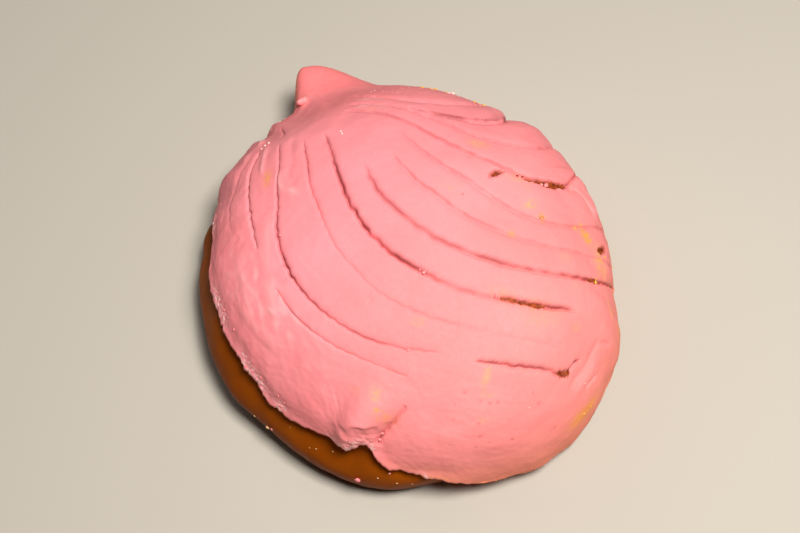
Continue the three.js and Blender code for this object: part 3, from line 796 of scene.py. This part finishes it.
def make_crust(material):
    """The crust: the wrapped square laid over the dome down to the edge, a rim that rolls over
    half an ellipse, and an underside that lies just inside the bun's skin."""
    reach, angle, quads, rim = wrapped_square(CRUST_CELLS)
    paths = groove_paths()
    place = crust_places(reach, angle, paths)
    angle, level = off_map(place)
    relief, dark, white, torn = crust_relief(angle, level, paths)
    lift = CRUST_GAP + CRUST_THICKNESS + relief
    points = [above(angle, level, lift)]
    masks = [np.stack([dark, white, torn, *stain_masks(place), tab_and_valley_painted_shade(angle, level)])]
    angle, level, lift = angle[rim], level[rim], lift[rim]
    roughness = 0.05 + 0.16 * crumbly(place[rim])
    for k in range(1, RIM_RINGS + 1):
        roll = math.pi * k / RIM_RINGS
        height = CRUST_BOND + (lift - CRUST_BOND) * 0.5 * (1 + math.cos(roll))
        ring_level = level + RIM_ROUNDING * math.sin(roll) / MAP_SCALE
        height += math.sin(roll) * roughness * uneven(bun_surface(angle, ring_level), RIM_BREAKS)
        points.append(above(angle, ring_level, height))
        masks.append(masks[0][:, rim] * math.cos(roll / 2) ** 2 * MASK_ON_RIM)
    for k in range(1, UNDER_RINGS + 1):
        points.append(above(angle, level * (1 - k / (UNDER_RINGS + 1)), CRUST_BOND))
    points.append(np.array([[0, 0, BUN_HEIGHT + CRUST_BOND]]))
    masks.append(np.zeros((len(MASKS), UNDER_RINGS * len(rim) + 1)))
    below = len(reach) + np.arange((RIM_RINGS + UNDER_RINGS) * len(rim)).reshape(-1, len(rim))
    faces = quads.tolist() + ring_faces([rim, *below], below[-1, -1] + 1)
    return new_piece("pink_crust", np.vstack(points), faces, material, zip(MASKS, np.hstack(masks)))


def make_bun(material):
    """The bun: rings of the bun's surface from the crown to the floor, closer on the bare band,
    then flat rings across the underside."""
    levels = np.concatenate([np.linspace(0, 0.62, 46)[1:], np.linspace(0.62, 2, 84)[1:]])
    angle, level = np.meshgrid(np.arange(BUN_SECTORS) * 360 / BUN_SECTORS, levels)
    angle, level = angle.ravel(), level.ravel()
    skin = bun_surface(angle, level)
    skin = above(angle, level, uneven(skin, BREAD_WAVES) * rise(0, 5, skin[:, 2]))
    shares = np.linspace(1, 0, 14)[1:-1]
    base = (skin[None, -BUN_SECTORS:] * shares[:, None, None]).reshape(-1, 3)
    points = np.vstack([[[0, 0, BUN_HEIGHT]], skin, base, [[0, 0, 0]]])
    return new_piece("browned_bun", points, closed_faces(len(levels) + len(shares), BUN_SECTORS), material)


def make_crumbs(name, spots, ways, sizes, seed, material, flatness=0.55):
    """Crumbs in one mesh: each a ball of three rings and two poles, its points moved in and out by
    a quarter, stretched and turned at random, flattened and sunk a little into what it lies on."""
    draw = np.random.default_rng(seed)
    count, around = len(spots), 8
    turn, tilt = np.meshgrid(np.arange(around) * 360 / around, np.radians((45, 0, -45)))
    ball = np.stack([*polar(turn, np.cos(tilt)), np.sin(tilt)], -1).reshape(-1, 3)
    ball = np.vstack([[[0, 0, 1]], ball, [[0, 0, -1]]])
    lumps = ball * draw.uniform(0.75, 1.25, (count, len(ball), 1))
    lumps *= draw.uniform(0.65, 1.25, (count, 1, 3))
    turn = draw.normal(size=(count, 1, 4))
    turn /= np.linalg.norm(turn, axis=-1, keepdims=True)
    aside = 2 * np.cross(turn[..., 1:], lumps)
    lumps += turn[..., :1] * aside + np.cross(turn[..., 1:], aside)
    ways = ways[:, None]
    lumps -= (1 - flatness) * (lumps * ways).sum(-1, keepdims=True) * ways
    points = spots[:, None] + (lumps + 0.35 * ways) * sizes[:, None, None]
    one = closed_faces(3, around)
    faces = [[n * len(ball) + corner for corner in face] for n in range(count) for face in one]
    return new_piece(name, points.reshape(-1, 3), faces, material)


def scatter(draw, spots, count):
    """Map places strewn as bells around places, each with its reach."""
    return np.vstack([(x, y) + draw.normal(0, reach / 1.6, (count, 2)) for x, y, reach in spots])


def strew_lines(draw, lines):
    """Map places strewn along lines, each with its reach to the sides and number."""
    strewn = []
    for line, reach, count in lines:
        path = smooth_path(line)
        strewn.append(path[draw.integers(0, len(path), count)] + draw.normal(0, reach, (count, 2)))
    return np.vstack(strewn)


def on_crust(draw, single, *groups):
    """Spots, outward directions and radii of single crumbs on the crust and of strewn ones, whose
    radii are drawn between their group's two bounds."""
    single = np.array(single)
    angle, level = off_map(np.vstack([single[:, :2]] + [strewn for strewn, _, _ in groups]))
    sizes = [draw.uniform(low, high, len(strewn)) for strewn, low, high in groups]
    lift = CRUST_GAP + CRUST_THICKNESS + crust_relief(angle, level, groove_paths())[0]
    lift *= rise(0.4, -0.6, (level - crust_edge(angle)) * MAP_SCALE)
    return above(angle, level, lift), outward(angle, level), np.concatenate([single[:, 2]] + sizes)


def on_bread(rows):
    """Spots, outward directions and radii of crumbs on the bun: angle, level and radius."""
    angle, level, sizes = np.array(rows).T
    return bun_surface(angle, level), outward(angle, level), sizes


# ---- Materials ----

def shader(name):
    """A node material: its tree, and its Principled shader."""
    material = bpy.data.materials.new(name)
    material.use_nodes = True
    tree = material.node_tree
    return material, tree, tree.nodes["Principled BSDF"]


def put(socket, value):
    """Sets an input to a value, or links it to a socket."""
    if isinstance(value, bpy.types.NodeSocket):
        socket.id_data.links.new(value, socket)
    else:
        socket.default_value = value


def add(tree, kind, inputs=None, **settings):
    """A node with its settings and inputs."""
    node = tree.nodes.new("ShaderNode" + kind)
    for label, value in settings.items():
        setattr(node, label, value)
    for label, value in (inputs or {}).items():
        put(node.inputs[label], value)
    return node


def blend(factor, first, second, mode="MIX"):
    """Mixes two colours, or a colour and a socket."""
    return add(factor.id_data, "Mix", {0: factor, 6: first, 7: second},
               data_type="RGBA", blend_type=mode).outputs[2]


def position(tree):
    """Object coordinates."""
    return add(tree, "TexCoord").outputs["Object"]


def axes(tree):
    """Object coordinates as X, Y and Z."""
    return add(tree, "SeparateXYZ", {"Vector": position(tree)}).outputs


def noise(tree, scale, detail=3, roughness=0.5):
    """Noise in object coordinates, its scale in features a metre."""
    return add(tree, "TexNoise", {
        "Vector": position(tree), "Scale": scale, "Detail": detail, "Roughness": roughness}).outputs["Fac"]


def spread(value, low, high, start=0, end=1):
    """Maps a value from low..high to start..end, and holds it there."""
    return add(value.id_data, "MapRange", {
        "Value": value, "From Min": low, "From Max": high, "To Min": start, "To Max": end}).outputs["Result"]


def mask(tree, name):
    """A piece's own mask by its name."""
    return add(tree, "Attribute", attribute_name=name).outputs["Fac"]


def dress(surface, colour, roughness, gloss, grain=None, strength=0):
    """A surface's colour, roughness and gloss, and its bumps where there is a grain."""
    put(surface.inputs["Base Color"], colour)
    put(surface.inputs["Roughness"], roughness)
    put(surface.inputs["Specular IOR Level"], gloss)
    if grain is not None:
        bump = add(surface.id_data, "Bump", {"Height": grain, "Strength": strength, "Distance": GRAIN_DEPTH})
        put(surface.inputs["Normal"], bump.outputs["Normal"])


def sugar_paste():
    """Dull pink paste, clouded and grained: warmer at the front right, with painted shade at the back and
    on the hinge tab and its valley, painted warm bounce light near the floor, stained with sugar, whiter
    where it crumbled, with painted shade in the scores and pits, and bread-coloured in the tears."""
    material, tree, paste = shader("pink_sugar_paste")
    across = axes(tree)
    cloudy = spread(noise(tree, 60), 0.35, 0.65)
    grain = noise(tree, 900, 4, 0.6)
    warm = add(tree, "Math", {0: across["X"], 1: across["Y"]}, operation="SUBTRACT").outputs[0]
    warm = spread(warm, -0.02, 0.085)
    pink = blend(warm, blend(cloudy, *COOL_PINK), blend(cloudy, *WARM_PINK))
    sugar = blend(mask(tree, "stain_red"), YELLOW_STAIN, ORANGE_STAIN)
    crumb = blend(spread(noise(tree, 1100), 0.35, 0.65), *TORN_BREAD)
    for share, colour, *mode in (
            # Painted shade towards the back
            (spread(across["Y"], 0.004, 0.05), BACK_PAINTED_SHADE, "MULTIPLY"),
            # Painted shade on the hinge tab and in its valley
            (mask(tree, "deep"), TAB_PAINTED_SHADE_PINK),
            (spread(grain, 0.3, 0.7, 0, 0.15), GRAIN_PINK),
            # Painted warm bounce light near the floor
            (spread(across["Z"], 0.008, 0.023, 0.6, 0), PAINTED_BOUNCE_ORANGE),
            (mask(tree, "stain"), sugar),
            (spread(mask(tree, "white"), 0, 1, 0, 0.75), CRUMBLED_WHITE),
            # Painted shade in the scores and pits, with the grooves' darker red
            (mask(tree, "score_shade"), SCORE_SHADE_RED),
            (mask(tree, "torn"), crumb)):
        pink = blend(share, pink, colour, *mode)
    dress(paste, pink, spread(grain, 0.3, 0.7, 0.75, 0.62), 0.3, grain, 0.35)
    return material


def browned_bread():
    """Browned skin with a weak warm gloss: clouded, with painted shade near the floor, finely wrinkled."""
    material, tree, skin = shader("browned_bread")
    brown = blend(spread(noise(tree, 45), 0.3, 0.7), *BROWN)
    # Painted shade near the floor
    brown = blend(spread(axes(tree)["Z"], 0, 0.01, 0.7, 0), brown, FOOT_SHADE_BROWN)
    fine = noise(tree, 700, 4, 0.6)
    dress(skin, brown, spread(fine, 0.3, 0.7, 0.42, 0.55), 0.045, fine, 0.2)
    skin.inputs["Specular Tint"].default_value = BROWN_GLOSS
    return material


def crumb_sugar(name, dark, light):
    """Grainy crumbs between two colours."""
    material, tree, grains = shader(name)
    colour = blend(spread(noise(tree, 1500), 0.35, 0.65), dark, light)
    dress(grains, colour, spread(noise(tree, 2500), 0.3, 0.7, 0.75, 0.95), 0.1)
    return material


# ---- The pieces ----

crust = make_crust(sugar_paste())
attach(crust, "root")
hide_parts("sugar_crust")

bun = make_bun(browned_bread())
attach(bun, "root")
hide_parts("bread_bun")

draw = np.random.default_rng(7)
strewn = scatter(draw, CRUMBLY, 6)
streaks = strew_lines(draw, WHITE_STREAKS)
crumbs = on_crust(draw, WHITE_CRUMBS, (strewn, 0.07, 0.15), (streaks, 0.07, 0.18))
white = make_crumbs("white_crumbs", *crumbs, 8, crumb_sugar("white_sugar", *WHITE_SUGAR))

strong = [(x, y, 1.2 * along) for x, y, along, _, _, strength, _ in STAINS if strength > 0.6]
strewn = scatter(draw, strong, 3)
streaks = strew_lines(draw, YELLOW_STREAKS)
crumbs = on_crust(draw, YELLOW_CRUMBS, (strewn, 0.07, 0.13), (streaks, 0.1, 0.24))
yellow = make_crumbs("yellow_crumbs", *crumbs, 9, crumb_sugar("yellow_sugar", *YELLOW_SUGAR))

strewn = scatter(draw, [(x, y, 0.8 * reach) for x, y, reach in CRUMBLY], 7)
crumbs = zip(on_crust(draw, PINK_CRUMBS, (strewn, 0.1, 0.24)), on_bread(PINK_ON_BREAD))
crumbs = [np.concatenate(both) for both in crumbs]
pink = make_crumbs("pink_crumbs", *crumbs, 10, crumb_sugar("pink_crumbled_paste", *PINK_SUGAR))

sugar = crumb_sugar("bread_crumbs", *BREAD_CRUMB)
flecks = make_crumbs("bread_flecks", *on_bread(BREAD_FLECKS), 11, sugar, 0.5)

for piece in (white, yellow, pink, flecks):
    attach(piece, "root")


# ---- Camera, light and floor ----

def place_camera():
    """The camera looks along +Y and down by its tilt, rolled about its own axis."""
    lens = bpy.data.cameras.new("camera")
    lens.lens, lens.sensor_width = 60, 36
    lens.clip_start, lens.clip_end = 0.01, 20
    camera = in_scene("camera", lens)
    camera.matrix_world = (
        Matrix.Translation((CROWN + CAMERA_TARGET) * MM)
        @ Matrix.Rotation(math.radians(90 - CAMERA_TILT), 4, "X")
        @ Matrix.Rotation(math.radians(CAMERA_ROLL), 4, "Z")
        @ Matrix.Translation((0, 0, CAMERA_DISTANCE)))
    bpy.context.scene.camera = camera


def place_light(name, spot, size, watts):
    """A square soft light at a spot, in metres, turned to the roll."""
    lamp = bpy.data.lights.new(name, "AREA")
    lamp.size, lamp.energy, lamp.color = size, watts, LAMP_WHITE
    light = in_scene(name, lamp)
    light.location = spot
    light.rotation_euler = (Vector(spot) - Vector(LAMP_AIM)).to_track_quat("Z", "Y").to_euler()


def place_floor(side=3.0):
    """A pale floor that reaches a side's length each way."""
    mesh = bpy.data.meshes.new("floor")
    corners = [(-side, -side, 0), (side, -side, 0), (side, side, 0), (-side, side, 0)]
    mesh.from_pydata(corners, [], [(0, 1, 2, 3)])
    material, _, surface = shader("pale_floor")
    dress(surface, PALE_FLOOR, 0.8, 0.5)
    mesh.materials.append(material)
    in_scene("floor", mesh)


place_camera()
place_floor()
place_light("key", (0.157, -0.148, 0.602), 0.18, 5.6)
place_light("fill", (-0.24, 0.28, 0.45), 0.4, 0.4)
world = bpy.data.worlds.new("studio")
world.use_nodes = True
background = world.node_tree.nodes["Background"].inputs
background["Color"].default_value = ROOM_WHITE
background["Strength"].default_value = 0.02
bpy.context.scene.world = world
bpy.context.scene.view_settings.view_transform = "Standard"
